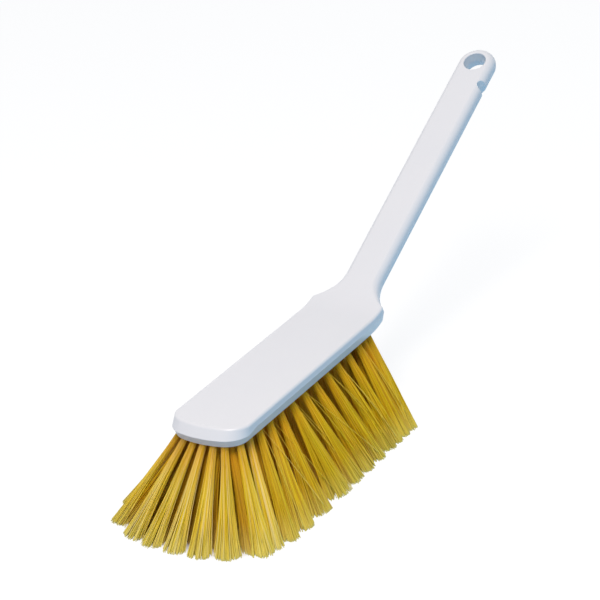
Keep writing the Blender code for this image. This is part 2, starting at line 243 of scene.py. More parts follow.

# Floor: the patch under the tufts by its middle, half lengths and fading edge, and the colours that are seen and
# that light the broom, outside the patch and under the tufts. Seen under the tufts it is a dark brown painted
# shade
FLOOR_HALF = 6.0
FOOTPRINT_MIDDLE = 56.0 * MM
FOOTPRINT_HALVES = (90.0 * MM, 50.0 * MM)
FOOTPRINT_FADE = (0.66, 1.02)
SEEN_OUTSIDE = (0.22, 0.22, 0.22)
# Painted shade: the dark brown floor seen under the tufts, where no glow is added
SEEN_PAINTED_SHADE_UNDER = (0.34, 0.19, 0.02)
SEEN_GLOW = (0.86, 0.86, 0.86)
WARM_GLOW = (0.55, 0.29, 0.035)
PLAIN_BOUNCE = (0.50, 0.57, 0.66)
BLUE_BOUNCE = (0.26, 0.68, 1.0)
BOUNCE_SLOPE = (5.0, -10.0)
BOUNCE_START = 0.8

# Light all round and the lamp
SKY_LIGHT = (0.228, 0.285, 0.355)
SEEN_SKY = (1.0, 1.0, 1.0)
LAMP_DIRECTION = (-0.38, -0.09, 0.92)
LAMP_DISTANCE = 1.5
LAMP_SIZE = 0.75
LAMP_POWER = 15.1
LAMP_COLOUR = (1.0, 0.90, 0.83)

# Camera: fitted turn, rise and roll, the point that it looks at, behind the block's front and above its underside
VIEW_TURN = math.radians(-58.62)
VIEW_RISE = math.radians(24.74)
VIEW_ROLL = math.radians(-4.33)
VIEW_ALONG = 114.19 * MM
VIEW_ABOVE = 35.99 * MM
VIEW_DISTANCE = 1438.46 * MM
SENSOR_WIDTH = 36.0
LENS = 153.856
CLIP_START = 0.01


def smooth_step(value):
    """Ease from 0 to 1: three times the square less twice the cube."""
    t = np.clip(value, 0.0, 1.0)
    return t * t * (3.0 - 2.0 * t)


def bend(u, v, w):
    """Flat coordinates to the frame's: straight to the bend, along its arc, then up the handle's slope."""
    length = BEND_RADIUS * HANDLE_ANGLE
    turn = np.clip(u - BEND_START, 0.0, length) / BEND_RADIUS
    past = np.maximum(u - BEND_START - length, 0.0)
    x = np.minimum(u, BEND_START) + BEND_RADIUS * np.sin(turn) + past * math.cos(HANDLE_ANGLE)
    z = BLOCK_THICKNESS + BEND_RADIUS * (1.0 - np.cos(turn)) + past * math.sin(HANDLE_ANGLE)
    place = (x - w * np.sin(turn) + FRONT_X, v + 0.0 * u, z + w * np.cos(turn) + UNDERSIDE_Z)
    return np.stack(np.broadcast_arrays(*place), axis=-1)


def arc(centre_u, centre_v, radius, start, end, step, hollow=False):
    """Points of an arc and its inward normals.

    A point is the centre plus the radius times (cos a, sin a). Its normal is the negative of that pair, or the
    pair itself where the outline is hollow.
    """
    count = max(2, int(math.ceil(abs(end - start) * radius / step)))
    a = np.linspace(start, end, count + 1)[:-1]
    c, s = np.cos(a), np.sin(a)
    side = 1.0 if hollow else -1.0
    return np.stack([centre_u + radius * c, centre_v + radius * s, side * c, side * s], axis=1)


def straight(u0, u1, v, step):
    """Evenly spaced points of a long side, whose inward normal is -v."""
    count = max(2, int(math.ceil((u1 - u0) / step)))
    u = np.linspace(u0, u1, count + 1)[:-1]
    return np.stack([u, np.full_like(u, v), np.zeros_like(u), np.full_like(u, -1.0)], axis=1)


def moulding_end():
    """The moulding's length along its top, where its neck ends, and the angle that the neck's arcs turn."""
    drop = (BLOCK_WIDTH - HANDLE_WIDTH) / 2
    turn = math.acos(1.0 - drop / (SHOULDER_RADIUS + NECK_RADIUS))
    neck = BLOCK_LENGTH + (SHOULDER_RADIUS + NECK_RADIUS) * math.sin(turn)
    return neck + HANDLE_LENGTH, neck, turn


def half_outline():
    """Left half of the widest outline from the front's middle to the end's middle, as rows of u, v and normal.

    The front bow and its corner are tangent arcs, and so are the shoulder and the neck. A half circle ends it.
    """
    half, slim = BLOCK_WIDTH / 2, HANDLE_WIDTH / 2
    bow = (half ** 2 + FRONT_BOW ** 2) / (2 * FRONT_BOW)
    corner_v = half - FRONT_CORNER_RADIUS
    corner_u = bow - math.sqrt((bow - FRONT_CORNER_RADIUS) ** 2 - corner_v ** 2)
    tangent = math.atan2(corner_v, corner_u - bow)
    end, neck, turn = moulding_end()
    quarter = math.pi / 2
    rows = [
        arc(bow, 0.0, bow, math.pi, tangent, BOW_STEP),
        arc(corner_u, corner_v, FRONT_CORNER_RADIUS, tangent, quarter, CORNER_STEP),
        straight(corner_u, BEND_START, half, BLOCK_SIDE_STEP),
        straight(BEND_START, BLOCK_LENGTH, half, BEND_STEP),
        arc(BLOCK_LENGTH, half - SHOULDER_RADIUS, SHOULDER_RADIUS, quarter, quarter - turn, SHOULDER_STEP),
        arc(neck, slim + NECK_RADIUS, NECK_RADIUS, -quarter - turn, -quarter, NECK_STEP, hollow=True),
        straight(neck, end - slim, slim, HANDLE_SIDE_STEP),
        arc(end - slim, 0.0, slim, quarter, 0.0, HANDLE_END_STEP),
        np.array([[end, 0.0, -1.0, 0.0]]),
    ]
    return np.concatenate(rows)


def block_levels(front, rise):
    """Inset and height down the block's edge: flat, rounding, drafted side, parting line, band, underside.

    The rounding is an arc that starts level and turns by the angle at which the tangent from the parting line
    meets it, so the side runs straight into it. Rise lifts the parting line along the block's sides.
    """
    front, rise = front[:, None], rise[:, None]
    draft = SIDE_DRAFT + (FRONT_DRAFT - SIDE_DRAFT) * front
    radius = SIDE_EDGE_RADIUS + (FRONT_EDGE_RADIUS - SIDE_EDGE_RADIUS) * front
    depth = UPPER_DEPTH + (SIDE_UPPER_DEPTH - UPPER_DEPTH) * rise
    foot = PARTING_HEIGHTS[0] - depth
    out = draft + radius - PARTING_SUNK
    slope = np.arctan2(-foot - radius, out) + np.arcsin(radius / np.hypot(out, -foot - radius))
    a = math.pi / 2 - slope * np.linspace(0.0, 1.0, ROUNDING_LEVELS)[None, :]
    one = np.ones_like(draft)
    flat = (draft + radius + FLAT_INSET, 0.0 * one)
    rounding = (draft + radius * (1.0 - np.cos(a)), -radius * (1.0 - np.sin(a)))
    t = np.array(SIDE_SHARES)[None, :]
    side = tuple(above[:, -1:] + (end - above[:, -1:]) * t
                 for above, end in zip(rounding, (PARTING_SUNK, foot)))
    line = (PARTING_INSETS * one, PARTING_HEIGHTS - depth)
    low = UNDERSIDE_EDGE - BLOCK_THICKNESS
    start = PARTING_HEIGHTS[-1] - depth
    t = np.array(BAND_SHARES)[None, :]
    band = ((PARTING_SUNK + (UNDERSIDE_INSET - PARTING_SUNK) * t) * one, start + (low - start) * t)
    b = np.radians(UNDERSIDE_EDGE_TURNS)[None, :]
    edge = ((UNDERSIDE_INSET + UNDERSIDE_EDGE * (1.0 - np.cos(b))) * one,
            (low - UNDERSIDE_EDGE * np.sin(b)) * one)
    under = ((UNDERSIDE_INSET + UNDERSIDE_EDGE + FLAT_INSET) * one, -BLOCK_THICKNESS * one)
    parts = (flat, rounding, side, line, band, edge, under)
    return tuple(np.concatenate([part[i] for part in parts], axis=1) for i in (0, 1))


def handle_levels():
    """Inset and height down the handle's edge: flat, edge, parting line, lower edge, underside.

    The upper edge is a parabola that leaves the flat top at the crease's angle and meets the parting line. The
    lower one is a quarter ellipse.
    """
    crease = HANDLE_EDGE_WIDTH * math.tan(HANDLE_CREASE)
    t = np.linspace(0.0, 1.0, CREASE_LEVELS + 1)[:-1]
    top = PARTING_HEIGHTS[0] - UPPER_DEPTH
    upper = (HANDLE_EDGE_WIDTH * (1 - t) ** 2 + PARTING_SUNK * t * t, -crease * 2 * t * (1 - t) + top * t * t)
    line = (PARTING_INSETS, PARTING_HEIGHTS - UPPER_DEPTH)
    a = np.radians(np.linspace(0.0, 90.0, HANDLE_UNDERSIDE_LEVELS + 1))[1:]
    start = PARTING_HEIGHTS[-1] - UPPER_DEPTH
    lower = (PARTING_SUNK + (HANDLE_EDGE_WIDTH - PARTING_SUNK) * (1 - np.cos(a)),
             start + (-HANDLE_THICKNESS - start) * np.sin(a))
    flat = (np.array([HANDLE_EDGE_WIDTH + FLAT_INSET]), np.array([0.0]))
    under = (np.array([HANDLE_EDGE_WIDTH + FLAT_INSET]), np.array([-HANDLE_THICKNESS]))
    parts = (flat, upper, line, lower, under)
    return tuple(np.concatenate([part[i] for part in parts]) for i in (0, 1))


def mesh_object(name, points, faces):
    """A smooth mesh object of points and faces of equal or mixed count."""
    mesh = bpy.data.meshes.new(name)
    mesh.from_pydata(points.reshape(-1, 3).tolist(), [], faces)
    mesh.update()
    mesh.shade_smooth()
    obj = bpy.data.objects.new(name, mesh)
    bpy.context.scene.collection.objects.link(obj)
    return obj


def moulding_skin():
    """The closed skin: every outline point moved in along its normal by each level's inset, then bent.

    Quads join each level to the next all the way round, and rungs close the top and the underside.
    """
    left = half_outline()
    right = left[-2:0:-1] * np.array([1.0, -1.0, 1.0, -1.0])
    ring = np.concatenate([left, right])
    u, v, nu, nv = ring.T
    share = smooth_step((u - BLOCK_LENGTH - SECTION_BLEND_DELAY) / SECTION_BLEND_LENGTH)[:, None]
    front = np.where(u < BEND_START, np.maximum(nu, 0.0), 0.0)
    rise = smooth_step((u - PARTING_RISE_START) / PARTING_RISE_LENGTH)
    block_inset, block_w = block_levels(front, rise)
    handle_inset, handle_w = handle_levels()
    inset = block_inset + (handle_inset[None, :] - block_inset) * share
    w = block_w + (handle_w[None, :] - block_w) * share
    points = bend(u[:, None] + nu[:, None] * inset, v[:, None] + nv[:, None] * inset, w)

    count, levels = inset.shape
    i = np.arange(count)[:, None]
    k = np.arange(levels - 1)[None, :]
    j = (i + 1) % count
    quads = np.stack([i * levels + k, j * levels + k, j * levels + k + 1, i * levels + k + 1], axis=-1)
    faces = quads.reshape(-1, 4).tolist()
    a = np.arange(len(left) - 1)
    a_right, b_right = (count - a) % count, count - a - 1
    for level, order in ((0, (0, 1, 2, 3)), (levels - 1, (3, 2, 1, 0))):
        rungs = np.stack([a, a_right, b_right, a + 1], axis=1)[:, order] * levels + level
        faces += [tuple(dict.fromkeys(rung)) for rung in rungs.tolist()]
    return mesh_object("moulding", points, faces)


def drill(name, u, v, stations, sides):
    """Closed round cutters, one for each u and v: rings of the stations' radii at their heights w."""
    u, v = np.atleast_1d(u), np.atleast_1d(v)
    w, radius = np.array(stations).T
    a = np.linspace(0.0, 2 * math.pi, sides, endpoint=False)
    ring_u = u[:, None, None] + radius[None, :, None] * np.cos(a)
    ring_v = v[:, None, None] + radius[None, :, None] * np.sin(a)
    points = bend(ring_u, ring_v, w[None, :, None] + 0.0 * ring_u)
    rings = len(stations)
    t = np.arange(len(u))[:, None, None] * rings * sides
    k = np.arange(rings - 1)[None, :, None] * sides
    i = np.arange(sides)[None, None, :]
    j = (i + 1) % sides
    quads = np.stack([t + k + i, t + k + sides + i, t + k + sides + j, t + k + j], axis=-1)
    faces = quads.reshape(-1, 4).tolist()
    base = np.arange(len(u))[:, None] * rings * sides
    faces += (base + np.arange(sides)[None, :]).tolist()
    faces += (base + (rings - 1) * sides + np.arange(sides)[None, ::-1]).tolist()
    return mesh_object(name, points, faces)


def through_stations(radius, rim, draft):
    """Heights and radii of a cut through the handle, narrowest at the parting line's hair.

    At each face it flares by a quarter circle of the rim's size.
    """
    a = np.radians(np.linspace(0.0, 90.0, RIM_LEVELS))
    top = np.stack([-rim * (1.0 - np.cos(a)), radius + rim * (1.0 - np.sin(a))], axis=1).tolist()
    wall, hair = radius - draft, radius - draft - PARTING_SUNK
    line = list(zip(PARTING_HEIGHTS - UPPER_DEPTH, (wall, hair, hair, wall)))
    bottom = [(-HANDLE_THICKNESS - w, r) for w, r in top[::-1]]
    first, last = (CUT_BEYOND, radius + rim), (-HANDLE_THICKNESS - CUT_BEYOND, radius + rim)
    return [first] + top + line + bottom + [last]


def bake_modifiers(target):
    """Put what the object's modifiers make of it into its mesh, and clear them."""
    depsgraph = bpy.context.evaluated_depsgraph_get()
    baked = bpy.data.meshes.new_from_object(target.evaluated_get(depsgraph))
    target.modifiers.clear()
    target.data = baked


def cut_and_finish(target, cutters):
    """Subtract the cutters, keep sharp corners sharp, and let large faces set the normals of the rest."""
    for cutter in cutters:
        modifier = target.modifiers.new(cutter.name, 'BOOLEAN')
        modifier.operation = 'DIFFERENCE'
        modifier.solver = 'EXACT'
        modifier.object = cutter
    bake_modifiers(target)
    target.data.shade_smooth()
    target.data.set_sharp_from_angle(angle=SHARP_ANGLE)
    weighted = target.modifiers.new("weighted_normals", 'WEIGHTED_NORMAL')
    weighted.keep_sharp = True
    weighted.weight = LARGE_FACE_WEIGHT
    bake_modifiers(target)
    for cutter in cutters:
        bpy.data.objects.remove(cutter, do_unlink=True)


def tuft_ends(name):
    """Middle of a tuft's root at the underside, and of its tips on the floor, from its solid's points."""
    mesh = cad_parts[name].data
    points = np.empty(len(mesh.vertices) * 3)
    mesh.vertices.foreach_get("co", points)
    points = points.reshape(-1, 3)
    root = points[points[:, 2] > UNDERSIDE_Z + SOLID_END]
    tips = points[points[:, 2] < SOLID_END]
    return np.array([(root.min(0) + root.max(0))[:2] / 2, tips.mean(0)[:2]])


def fill_places(ends):
    """Roots and tips of hidden tufts that the frame leaves out.

    At each side a pair stands between the last two side tufts. The middle row is the side tufts' places with no
    v, where the frame has no tuft near. Then, at each side, one stands half-way between the third tufts of the
    outer and the inner row, two in a second row behind the front one, and two in a last row. Those rows are the
    first and the last side tuft's place with its v times a share.
    """
    taken = [ends[name][0, 0] for name in ends if name.startswith("tuft_middle") or name == "tuft_front_1"]
    places = []
    for side in ("left", "right"):
        before, last = ends[f"tuft_side_{side}_12"], ends[f"tuft_side_{side}_13"]
        for share_v, share_way in PAIR_SHARES:
            places.append((before + (last - before) * share_way) * np.array([1.0, share_v]))
    for number in range(1, SIDE_TUFTS + 1):
        place = ends[f"tuft_side_left_{number:02d}"]
        if min(abs(place[0, 0] - x) for x in taken) > MIDDLE_SPACING:
            places.append(place * np.array([1.0, 0.0]))
    for side in ("left", "right"):
        between = (ends[f"tuft_side_{side}_03"] + ends[f"tuft_inner_{side}_03"]) / 2
        between[1, 0] += BETWEEN_ROWS_BACK
        places.append(between)
        for number, row in ((1, SECOND_ROW), (SIDE_TUFTS, LAST_ROW)):
            for root_share, tip_share, back in row:
                place = ends[f"tuft_side_{side}_{number:02d}"] * np.array([[1.0, root_share], [1.0, tip_share]])
                place[1, 0] += back
                places.append(place)
    return places


def filament_mesh(name, starts, ends, lean, flare, tip_heights, bows, tones, rng):
    """Four-sided filaments, flat at both ends: each runs straight down out of its hole, then to its tip.

    Along it the middle is the start plus the lean times t, plus the rest of the way times t to the power of the
    flare, plus its bow times 4 t (1 - t). The ring round the middle stays level, so every end is cut flat, and it
    swells towards the frayed tip. Each filament has a tone, and each point how far along it is.
    """
    count, sides, stations = len(starts), FILAMENT_SIDES, FILAMENT_STATIONS
    t = np.concatenate([[0.0], np.linspace(0.0, 1.0, stations - 1)])[None, :, None]
    straight_way = np.broadcast_to(lean, starts.shape)[:, None, :] * t
    rest = (ends - starts - lean)[:, None, :] * t ** flare
    middle = starts[:, None, :] + straight_way + rest + bows[:, None, :] * 4.0 * t * (1.0 - t)
    height = UNDERSIDE_Z + (tip_heights[:, None] - UNDERSIDE_Z) * t[:, :, 0]
    height[:, 0] = UNDERSIDE_Z + FILAMENT_TOP
    angle = rng.uniform(0.0, math.pi, count)[:, None] + np.arange(sides)[None, :] * 2.0 * math.pi / sides
    radius = FILAMENT_RADIUS * rng.uniform(*FILAMENT_RADIUS_SPREAD, count)[:, None]
    ring = np.stack([radius * np.cos(angle), radius * np.sin(angle)], axis=-1)
    swell = 1.0 + (TIP_SWELL - 1.0) * t[:, :, :, None]
    points = np.empty((count, stations, sides, 3))
    points[..., :2] = middle[:, :, None, :] + ring[:, None, :, :] * swell
    points[..., 2] = height[:, :, None]

    f = np.arange(count)[:, None, None] * stations * sides
    k = np.arange(stations - 1)[None, :, None] * sides
    i = np.arange(sides)[None, None, :]
    j = (i + 1) % sides
    walls = np.stack([f + k + i, f + k + sides + i, f + k + sides + j, f + k + j], axis=-1).reshape(-1, 4)
    base = np.arange(count)[:, None] * stations * sides
    caps = np.concatenate([base + np.arange(sides)[None, :],
                           base + (stations - 1) * sides + np.arange(sides)[None, ::-1]])
    obj = mesh_object(name, points, np.concatenate([walls, caps]).tolist())
    mesh = obj.data
    mesh.polygons.foreach_set("use_smooth", np.arange(len(walls) + len(caps)) < len(walls))
    pairs = np.empty(len(mesh.edges) * 2, dtype=np.int64)
    mesh.edges.foreach_get("vertices", pairs)
    station = (pairs.reshape(-1, 2) // sides) % stations
    rim = (station[:, 0] == station[:, 1]) & np.isin(station[:, 0], (0, stations - 1))
    mesh.edges.foreach_set("use_edge_sharp", rim)
    tone = np.repeat(rng.uniform(*tones, count), stations * sides)
    along = np.broadcast_to(t, (count, stations, sides)).reshape(-1)
    for attribute, values in (("tone", tone), ("along", along)):
        layer = mesh.attributes.new(attribute, 'FLOAT', 'POINT')
        layer.data.foreach_set("value", np.ascontiguousarray(values, dtype=np.float32))
    return obj


def tip_halves(ends):
    """Half the width of each outer tuft's tips: a share of the mean distance to its neighbours' tips."""
    order = [f"tuft_side_left_{number:02d}" for number in range(SIDE_TUFTS, 0, -1)]
    order += ["tuft_front_left_2", "tuft_front_left_1", "tuft_front_1", "tuft_front_right_1", "tuft_front_right_2"]
    order += [f"tuft_side_right_{number:02d}" for number in range(1, SIDE_TUFTS + 1)]
    tips = np.array([ends[name][1] for name in order])
    gaps = np.linalg.norm(tips[1:] - tips[:-1], axis=1)
    gaps = np.concatenate([gaps[:1], gaps, gaps[-1:]])
    return dict(zip(order, TIP_REACH * (gaps[1:] + gaps[:-1]) / 2))


def inner_look(root):
    """Half width, half depth and tones of an inner tuft: deep, to close the rows' gaps, but not at the back. Its
    tones are painted shade.
    """
    depth = INNER_TIP_DEPTH if root[0] < FRONT_X + BACK_ROWS_START else TIP_DEPTH
    return INNER_TIP_HALF, depth, INNER_PAINTED_SHADE_TONES


def gathered(tips):
    """Tips behind a place near the block's back stand a little further forward than their solids."""
    start = FRONT_X + BACK_GATHER_START
    drawn = np.minimum(tips[:, 0], start) + BACK_GATHER * np.maximum(tips[:, 0] - start, 0.0)
    return np.stack([drawn, tips[:, 1]], axis=1)


def tuft(name, ends, seed, half, depth, tones):
    """One tuft: filaments packed like a sunflower's seeds at the root, spread by the tips, drawn into locks.

    A filament that starts at an offset from the root's middle ends at the tip's middle plus that offset times
    wide across the lean and times deep along it, moved part of the way to the nearest lock and jogged a little.
    Wide and deep bring the outermost filaments to half the tuft's width and depth. The front's tufts are a little
    narrower, so they stay apart. Bundle, narrowing and flare pass from the front's to the sides' in an S.
    """
    rng = np.random.default_rng(seed)
    root, tip = ends
    side = 1.0 / (1.0 + math.exp((FLARE_CHANGE_AT - root[0] + FRONT_X) / FLARE_CHANGE_OVER))
    flare = FRONT_FLARE + (SIDE_FLARE - FRONT_FLARE) * side
    bundle = FRONT_BUNDLE_RADIUS + (SIDE_BUNDLE_RADIUS - FRONT_BUNDLE_RADIUS) * side
    wide = half / bundle * (1.0 - FRONT_NARROWING * (1.0 - side))
    deep = depth / bundle
    lean = tip - root
    ahead = lean / max(np.linalg.norm(lean), LEAST_LEAN)
    across = np.array([-ahead[1], ahead[0]])

    def stretched(offsets):
        """Offsets at the root to offsets at the tips."""
        return (offsets @ across)[:, None] * across * wide + (offsets @ ahead)[:, None] * ahead * deep

    index = np.arange(FILAMENTS)
    reach = bundle * np.sqrt((index + 0.5) / FILAMENTS)
    turn = index * math.pi * (3.0 - math.sqrt(5.0)) + rng.uniform(*SPIRAL_START)
    offset = np.stack([reach * np.cos(turn), reach * np.sin(turn)], axis=1)
    spread = stretched(offset)
    locks = stretched(rng.uniform(-1.0, 1.0, (LOCKS, 2)) * bundle * LOCK_REACH)
    nearest = np.argmin(np.linalg.norm(spread[:, None] - locks[None], axis=2), axis=1)
    pull = rng.uniform(*LOCK_PULL, FILAMENTS)[:, None]
    spread = spread + (locks[nearest] - spread) * pull
    spread += rng.normal(0.0, JOG, (FILAMENTS, 2))
    bows = rng.normal(0.0, BOW, (FILAMENTS, 2))
    heights = np.abs(rng.normal(0.0, TIP_HEIGHT, FILAMENTS)).clip(0.0, HIGHEST_TIP)
    low, high = np.array(cad_box)[:, :2] + BOX_MARGIN * np.array([[1.0], [-1.0]])
    tips = np.clip(gathered(tip + spread), low, high)
    shade = rng.uniform(-TUFT_SHADE, TUFT_SHADE)
    tones = (tones[0] + shade, tones[1] + shade)
    return filament_mesh(name, root + offset, tips, lean, flare, heights, bows, tones, rng)


def strays(ends):
    """Loose filaments that lie across their neighbours: from a side tuft's root to tips a place or two behind."""
    rng = np.random.default_rng(STRAY_SEED)
    starts, tips, bows = [], [], []
    for side, out in (("left", 1.0), ("right", -1.0)):
        for number in STRAY_TUFTS:
            for behind in STRAY_BEHIND:
                other = min(SIDE_TUFTS, number + behind)
                root = ends[f"tuft_side_{side}_{number:02d}"][0]
                tip = ends[f"tuft_side_{side}_{other:02d}"][1]
                start = np.array([rng.uniform(*STRAY_START_ALONG), out * STRAY_START_OUT])
                end = np.array([rng.uniform(*STRAY_TIP_ALONG), out * rng.uniform(*STRAY_TIP_OUT)])
                bow = np.array([rng.uniform(*STRAY_BOW_ALONG), out * rng.uniform(*STRAY_BOW_OUT)])
                starts.append(root + start * MM)
                tips.append(tip + end * MM)
                bows.append(bow * MM)
    heights = rng.uniform(0.0, STRAY_TIP_HEIGHT, len(starts))
    starts, tips, bows = np.array(starts), gathered(np.array(tips)), np.array(bows)
    return filament_mesh("stray_filaments", starts, tips, tips - starts, 1.0, heights, bows, STRAY_TONES, rng)


def group(name, inputs, outputs):
    """An empty shader group with named number inputs and outputs, and its two end nodes."""
    tree = bpy.data.node_groups.new(name, 'ShaderNodeTree')
    for label, default in inputs:
        tree.interface.new_socket(label, in_out='INPUT', socket_type='NodeSocketFloat').default_value = default
    for label in outputs:
        tree.interface.new_socket(label, in_out='OUTPUT', socket_type='NodeSocketFloat')
    return tree, tree.nodes.new("NodeGroupInput"), tree.nodes.new("NodeGroupOutput")


def node(tree, kind, **values):
    """A node with its sockets or settings given by name."""
    made = tree.nodes.new(kind)
    for key, value in values.items():
        if key in made.inputs:
            made.inputs[key].default_value = value
        else:
            setattr(made, key, value)
    return made


def math_node(tree, operation, *values, clamp=False):
    """The result of a Math node on links or numbers."""
    made = tree.nodes.new("ShaderNodeMath")
    made.operation = operation
    made.use_clamp = clamp
    for socket, value in zip(made.inputs, values):
        if isinstance(value, (int, float)):
            socket.default_value = value
        else:
            tree.links.new(value, socket)
    return made.outputs[0]


def mix_node(tree, factor, first, second):
    """The result of a colour Mix node: first, a colour or a link, where the factor is 0, second where it is 1."""
    made = node(tree, "ShaderNodeMix", data_type='RGBA')
    tree.links.new(factor, made.inputs["Factor"])
    for label, value in (("A", first), ("B", second)):
        if isinstance(value, tuple):
            made.inputs[label].default_value = (*value, 1.0)
        else:
            tree.links.new(value, made.inputs[label])
    return made.outputs["Result"]


def fade_in(tree, value, start, steepness):
    """How far a value is past a start, times a steepness, held between 0 and 1."""
    return math_node(tree, 'MULTIPLY', math_node(tree, 'SUBTRACT', value, start), steepness, clamp=True)


def object_place(tree):
    """Object coordinates."""
    return node(tree, "ShaderNodeTexCoord").outputs["Object"]


def mottle_group():
    """Slow cloudiness: noise on Object coordinates, its distance from the middle value times the contrast."""
    tree, start, end = group("mottle", (("Scale", 40.0), ("Contrast", 1.0)), ("Mask",))
    noise = node(tree, "ShaderNodeTexNoise", Detail=4.0, Roughness=0.55)
    tree.links.new(object_place(tree), noise.inputs["Vector"])
    tree.links.new(start.outputs["Scale"], noise.inputs["Scale"])
    centred = math_node(tree, 'SUBTRACT', noise.outputs["Fac"], 0.5)
    scaled = math_node(tree, 'MULTIPLY', centred, start.outputs["Contrast"])
    tree.links.new(math_node(tree, 'ADD', scaled, 0.5, clamp=True), end.inputs["Mask"])
    return tree


def scuff_group():
    """Fine scratches along the broom: a noise drawn out along X, kept only above its threshold."""
    tree, start, end = group("scuff", (("Scale", 900.0), ("Threshold", 0.62)), ("Mask",))
    squeeze = node(tree, "ShaderNodeMapping", Scale=(0.05, 1.0, 1.0), Rotation=(0.0, 0.0, 0.35))
    noise = node(tree, "ShaderNodeTexNoise", Detail=3.0, Roughness=0.6)
    tree.links.new(object_place(tree), squeeze.inputs["Vector"])
    tree.links.new(squeeze.outputs["Vector"], noise.inputs["Vector"])
    tree.links.new(start.outputs["Scale"], noise.inputs["Scale"])
    marks = fade_in(tree, noise.outputs["Fac"], start.outputs["Threshold"], SCUFF_STEEPNESS)
    tree.links.new(marks, end.inputs["Mask"])
    return tree


def satin_plastic(mottle, scuff):
    """White injection-moulded plastic: faint clouding, fine scuffs that catch the light, a trace of grain."""
    mat = bpy.data.materials.new("satin_white_moulding")
    mat.use_nodes = True
    tree = mat.node_tree
    shader = tree.nodes["Principled BSDF"]
    shader.inputs["IOR"].default_value = 1.49
    cloud = node(tree, "ShaderNodeGroup", node_tree=mottle, Scale=28.0, Contrast=1.3).outputs["Mask"]
    marks = node(tree, "ShaderNodeGroup", node_tree=scuff, Scale=700.0, Threshold=0.60).outputs["Mask"]
    tree.links.new(mix_node(tree, cloud, *WHITE_SHADES), shader.inputs["Base Color"])
    clouded = math_node(tree, 'MULTIPLY_ADD', cloud, CLOUD_ROUGHNESS, SATIN_ROUGHNESS)
    rough = math_node(tree, 'ADD', clouded, math_node(tree, 'MULTIPLY', marks, SCUFF_ROUGHNESS))
    tree.links.new(rough, shader.inputs["Roughness"])
    grain = node(tree, "ShaderNodeTexNoise", Scale=2600.0, Detail=2.0)
    tree.links.new(object_place(tree), grain.inputs["Vector"])
    grains = math_node(tree, 'MULTIPLY', grain.outputs["Fac"], GRAIN_HEIGHT)
    height = math_node(tree, 'ADD', grains, math_node(tree, 'MULTIPLY', marks, SCUFF_HEIGHT))
    bump = node(tree, "ShaderNodeBump", Strength=0.12, Distance=BUMP_DISTANCE)
    tree.links.new(height, bump.inputs["Height"])
    tree.links.new(bump.outputs["Normal"], shader.inputs["Normal"])
    return mat


def golden_filament():
    """Golden filament: each one its own tone, deepened by painted shade by the root, paler olive straw towards the
    tips, and a darker olive painted shade at their very ends.
    """
    mat = bpy.data.materials.new("golden_filament")
    mat.use_nodes = True
    tree = mat.node_tree
    shader = tree.nodes["Principled BSDF"]
    shader.inputs["Roughness"].default_value = 0.42
    shader.inputs["IOR"].default_value = 1.5
    shader.inputs["Specular IOR Level"].default_value = 0.35
    tone = node(tree, "ShaderNodeAttribute", attribute_name="tone").outputs["Fac"]
    along = node(tree, "ShaderNodeAttribute", attribute_name="along").outputs["Fac"]
    ramp = node(tree, "ShaderNodeValToRGB")
    elements = ramp.color_ramp.elements
    for place, _ in TONE_COLOURS[2:]:
        elements.new(place)
    for element, (place, colour) in zip(elements, TONE_COLOURS):
        element.position = place
        element.color = (*colour, 1.0)
    tree.links.new(tone, ramp.inputs["Fac"])
    colour = ramp.outputs["Color"]
    # Painted shade by the root and at the very ends, and a paler olive straw towards the tips
    for start, steepness, over in (ROOT_PAINTED_SHADE, PALE_OLIVE_TIP, CUT_END_PAINTED_SHADE):
        colour = mix_node(tree, fade_in(tree, along, start, steepness), colour, over)
    tree.links.new(colour, shader.inputs["Base Color"])
    return mat


def seen_directly(tree):
    """1 for camera, mirror and see-through rays, 0 for the rays that light the object."""
    path = tree.nodes.new("ShaderNodeLightPath")
    first = math_node(tree, 'MAXIMUM', path.outputs["Is Camera Ray"], path.outputs["Is Glossy Ray"])
    return math_node(tree, 'MAXIMUM', first, path.outputs["Is Transmission Ray"])


def across_floor(tree, slope, offset):
    """Sum of the floor's x and y, each times its slope, plus an offset, held between 0 and 1."""
    place = node(tree, "ShaderNodeSeparateXYZ")
    tree.links.new(object_place(tree), place.inputs[0])
    first = math_node(tree, 'MULTIPLY', place.outputs["X"], slope[0])
    second = math_node(tree, 'MULTIPLY', place.outputs["Y"], slope[1])
    return math_node(tree, 'ADD', math_node(tree, 'ADD', first, second), offset, clamp=True)


def outside_footprint(tree):
    """0 on the floor under the tufts and 1 outside, eased between: the mask of the painted shade and the warm glow
    under them.

    It goes by the square root of the sum of the fourth powers of x and y, both in the patch's half lengths.
    """
    place = node(tree, "ShaderNodeMapping", vector_type='TEXTURE', Scale=(*FOOTPRINT_HALVES, 1.0))
    place.inputs["Location"].default_value = (FRONT_X + FOOTPRINT_MIDDLE, 0.0, 0.0)
    tree.links.new(object_place(tree), place.inputs["Vector"])
    square = node(tree, "ShaderNodeVectorMath", operation='MULTIPLY')
    for socket in square.inputs[:2]:
        tree.links.new(place.outputs["Vector"], socket)
    length = node(tree, "ShaderNodeVectorMath", operation='LENGTH')
    tree.links.new(square.outputs["Vector"], length.inputs[0])
    ring = node(tree, "ShaderNodeMapRange", interpolation_type='SMOOTHSTEP')
    for label, value in zip(("From Min", "From Max"), FOOTPRINT_FADE):
        ring.inputs[label].default_value = value
    tree.links.new(length.outputs["Value"], ring.inputs["Value"])
    return ring.outputs["Result"]


